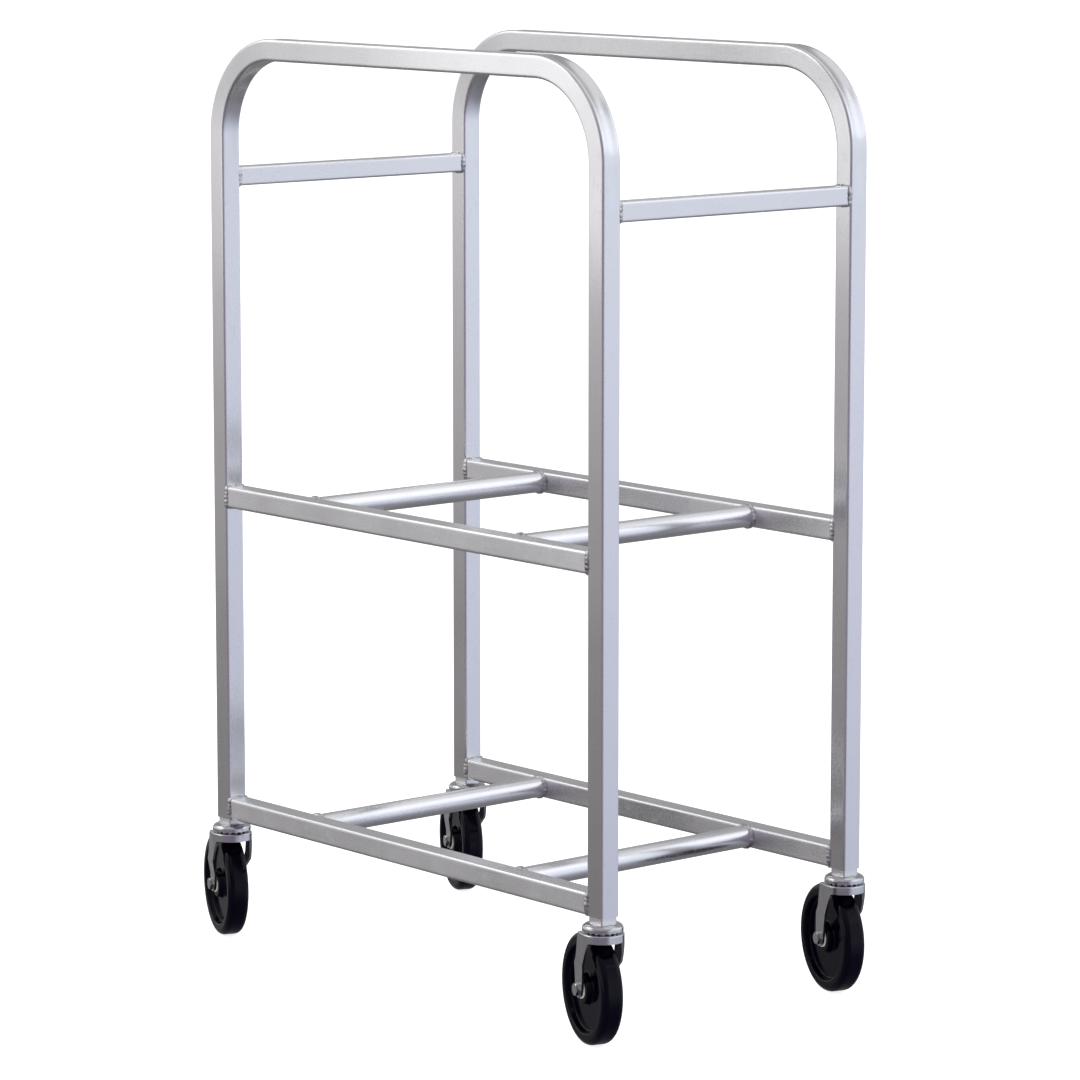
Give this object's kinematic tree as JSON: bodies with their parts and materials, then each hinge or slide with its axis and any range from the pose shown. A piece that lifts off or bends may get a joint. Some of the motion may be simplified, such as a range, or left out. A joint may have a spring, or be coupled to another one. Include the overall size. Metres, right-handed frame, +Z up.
{
  "type": "two-tier cart",
  "caption": "Tall open cart: two bent square-tube hoops joined by rails, round cross tubes and push bars, on swivel stem casters.",
  "frame": {"origin": "on the floor, in the middle of the whole cart's box with the casters as they stand at rest", "axes": "+X along the hoops to the front end, +Y from the right hoop to the left hoop, +Z up"},
  "size_m": [0.7948, 0.4358, 1.0779],
  "materials": {
    "square_tube_aluminium": "satin brushed mill finish, bent 25.4 mm square tube",
    "round_tube_aluminium": "bright drawn round tube",
    "weld_metal": "as-welded rippled bead",
    "plated_steel": "bright zinc plate on pressed steel",
    "fastener_steel": "zinc plated",
    "ball_steel": "polished bearing steel",
    "bushing_nylon": "natural nylon",
    "black_wheel": "glossy black moulded wheel"
  },
  "bodies": {
    "frame": {"left_hoop": "square_tube_aluminium", "left_middle_rail": "square_tube_aluminium", "left_lower_rail": "square_tube_aluminium", "right_hoop": "square_tube_aluminium", "right_middle_rail": "square_tube_aluminium", "right_lower_rail": "square_tube_aluminium", "front_push_bar": "square_tube_aluminium", "front_middle_cross_tube": "round_tube_aluminium", "front_lower_cross_tube": "round_tube_aluminium", "rear_push_bar": "square_tube_aluminium", "rear_middle_cross_tube": "round_tube_aluminium", "rear_lower_cross_tube": "round_tube_aluminium", "rail_welds": "weld_metal", "cross_tube_welds": "weld_metal", "push_bar_welds": "weld_metal", "front_left_leg_plug": "square_tube_aluminium", "front_left_stem": "fastener_steel", "front_left_upper_race": "plated_steel", "front_left_lower_race": "plated_steel", "front_right_leg_plug": "square_tube_aluminium", "front_right_stem": "fastener_steel", "front_right_upper_race": "plated_steel", "front_right_lower_race": "plated_steel", "rear_left_leg_plug": "square_tube_aluminium", "rear_left_stem": "fastener_steel", "rear_left_upper_race": "plated_steel", "rear_left_lower_race": "plated_steel", "rear_right_leg_plug": "square_tube_aluminium", "rear_right_stem": "fastener_steel", "rear_right_upper_race": "plated_steel", "rear_right_lower_race": "plated_steel"},
    "front_left_caster": {"front_left_fork": "plated_steel", "front_left_balls": "ball_steel", "front_left_axle_sleeve": "fastener_steel", "front_left_axle_bolt": "fastener_steel", "front_left_axle_nut": "fastener_steel"},
    "front_left_wheel": {"front_left_wheel": "black_wheel", "front_left_bushings": "bushing_nylon"},
    "front_right_caster": {"front_right_fork": "plated_steel", "front_right_balls": "ball_steel", "front_right_axle_sleeve": "fastener_steel", "front_right_axle_bolt": "fastener_steel", "front_right_axle_nut": "fastener_steel"},
    "front_right_wheel": {"front_right_wheel": "black_wheel", "front_right_bushings": "bushing_nylon"},
    "rear_left_caster": {"rear_left_fork": "plated_steel", "rear_left_balls": "ball_steel", "rear_left_axle_sleeve": "fastener_steel", "rear_left_axle_bolt": "fastener_steel", "rear_left_axle_nut": "fastener_steel"},
    "rear_left_wheel": {"rear_left_wheel": "black_wheel", "rear_left_bushings": "bushing_nylon"},
    "rear_right_caster": {"rear_right_fork": "plated_steel", "rear_right_balls": "ball_steel", "rear_right_axle_sleeve": "fastener_steel", "rear_right_axle_bolt": "fastener_steel", "rear_right_axle_nut": "fastener_steel"},
    "rear_right_wheel": {"rear_right_wheel": "black_wheel", "rear_right_bushings": "bushing_nylon"}
  },
  "joints": [
    {"name": "front_left_swivel", "type": "hinge", "parent": "frame", "child": "front_left_caster", "pos_m": [0.36389, 0.17111, 0.1318], "axis": [0, 0, 1], "continuous": true},
    {"name": "front_left_roll", "type": "hinge", "parent": "front_left_caster", "child": "front_left_wheel", "pos_m": [0.33584, 0.18023, 0.0625], "axis": [-0.309, -0.9511, 0], "continuous": true},
    {"name": "front_right_swivel", "type": "hinge", "parent": "frame", "child": "front_right_caster", "pos_m": [0.36389, -0.19399, 0.1318], "axis": [0, 0, 1], "continuous": true},
    {"name": "front_right_roll", "type": "hinge", "parent": "front_right_caster", "child": "front_right_wheel", "pos_m": [0.33592, -0.18463, 0.0625], "axis": [-0.3173, -0.9483, 0], "continuous": true},
    {"name": "rear_left_swivel", "type": "hinge", "parent": "frame", "child": "rear_left_caster", "pos_m": [-0.30921, 0.17111, 0.1318], "axis": [0, 0, 1], "continuous": true},
    {"name": "rear_left_roll", "type": "hinge", "parent": "rear_left_caster", "child": "rear_left_wheel", "pos_m": [-0.33616, 0.18311, 0.0625], "axis": [-0.4067, -0.9135, 0], "continuous": true},
    {"name": "rear_right_swivel", "type": "hinge", "parent": "frame", "child": "rear_right_caster", "pos_m": [-0.30921, -0.19399, 0.1318], "axis": [0, 0, 1], "continuous": true},
    {"name": "rear_right_roll", "type": "hinge", "parent": "rear_right_caster", "child": "rear_right_wheel", "pos_m": [-0.33665, -0.18318, 0.0625], "axis": [-0.3665, -0.9304, 0], "continuous": true}
  ]
}
